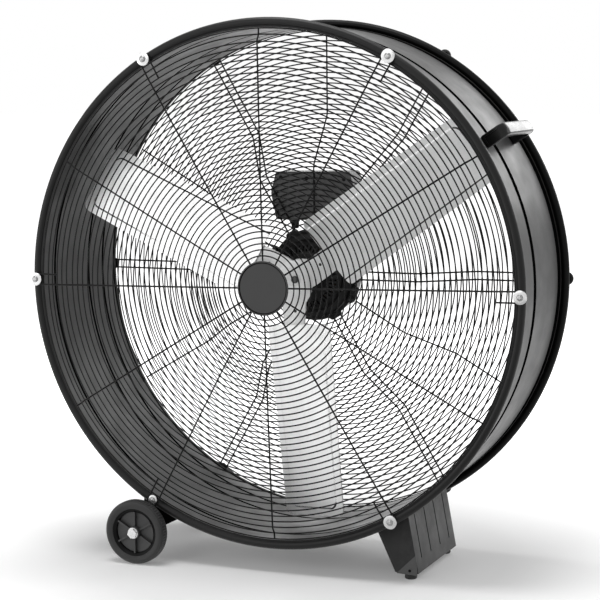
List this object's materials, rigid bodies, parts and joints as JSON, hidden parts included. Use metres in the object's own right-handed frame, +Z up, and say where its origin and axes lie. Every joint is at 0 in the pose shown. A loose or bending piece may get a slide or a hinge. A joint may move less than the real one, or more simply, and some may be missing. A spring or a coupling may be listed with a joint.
{
  "type": "drum fan",
  "caption": "Portable drum fan: round steel drum with domed wire grille in front and dished grille behind, three-blade rotor, wheels on one side, foot on the other, carrying handle.",
  "frame": {"origin": "on the floor, under the middle of the drum", "axes": "+Z up; the air leaves the front grille toward -Y; the foot and the handle are on +X, the wheels on -X"},
  "size_m": [0.985, 0.386, 1.021],
  "materials": {
    "drum_paint": "semi-gloss silver-grey paint",
    "dark_paint": "satin dark grey paint",
    "black_paint": "satin black paint",
    "blade_metal": "plain rolled sheet",
    "cast_metal": "as cast",
    "zinc": "bright zinc plate",
    "tyre_rubber": "matt",
    "black_plastic": "fine grain",
    "winding": "varnished copper and iron"
  },
  "bodies": {
    "drum": {"drum_shell": "drum_paint", "front_rim": "dark_paint", "rear_rim": "black_paint", "front_grille": "black_paint", "rear_grille": "black_paint", "front_hub_disc": "dark_paint", "front_clip_1": "zinc", "front_clip_2": "zinc", "front_clip_3": "zinc", "front_clip_4": "zinc", "front_clip_5": "zinc", "front_clip_6": "zinc", "rear_clip_1": "zinc", "rear_clip_2": "zinc", "rear_clip_3": "zinc", "rear_clip_4": "zinc", "rear_clip_5": "zinc", "rear_clip_6": "zinc", "motor_front_bell": "black_paint", "motor_flange": "black_paint", "motor_housing": "black_paint", "motor_rear_bell": "black_paint", "front_bearing": "zinc", "rear_bearing": "zinc", "stator": "winding", "control_box": "black_plastic", "control_lid": "black_plastic", "switch_body": "black_plastic", "run_capacitor": "cast_metal", "cord_gland": "black_plastic", "motor_conduit": "tyre_rubber", "carry_handle": "black_plastic", "front_wheel_bracket": "black_paint", "rear_wheel_bracket": "black_paint", "wheel_axle": "zinc", "foot_bracket": "dark_paint", "front_foot_pad": "tyre_rubber", "rear_foot_pad": "tyre_rubber", "front_axle_bolt": "zinc", "rear_axle_bolt": "zinc"},
    "fan_rotor": {"rotor_shaft": "zinc", "hub_boss": "cast_metal", "fan_spider": "cast_metal", "blade_1": "blade_metal", "blade_2": "blade_metal", "blade_3": "blade_metal"},
    "front_wheel": {"front_tyre": "tyre_rubber", "front_wheel_hub": "black_plastic"},
    "rear_wheel": {"rear_tyre": "tyre_rubber", "rear_wheel_hub": "black_plastic"},
    "speed_knob_body": {"speed_knob": "black_plastic"}
  },
  "joints": [
    {"name": "fan_spin", "type": "hinge", "parent": "drum", "child": "fan_rotor", "pos_m": [0, 0, 0.533], "axis": [0, 1, 0], "continuous": true},
    {"name": "front_wheel_spin", "type": "hinge", "parent": "drum", "child": "front_wheel", "pos_m": [-0.2651, -0.1724, 0.061], "axis": [0, 1, 0], "continuous": true},
    {"name": "rear_wheel_spin", "type": "hinge", "parent": "drum", "child": "rear_wheel", "pos_m": [-0.2651, 0.1724, 0.061], "axis": [0, 1, 0], "continuous": true},
    {"name": "speed_knob_turn", "type": "hinge", "parent": "drum", "child": "speed_knob_body", "pos_m": [0.034, 0.1395, 0.685], "axis": [0, -1, 0], "range_deg": [0, 120]}
  ]
}
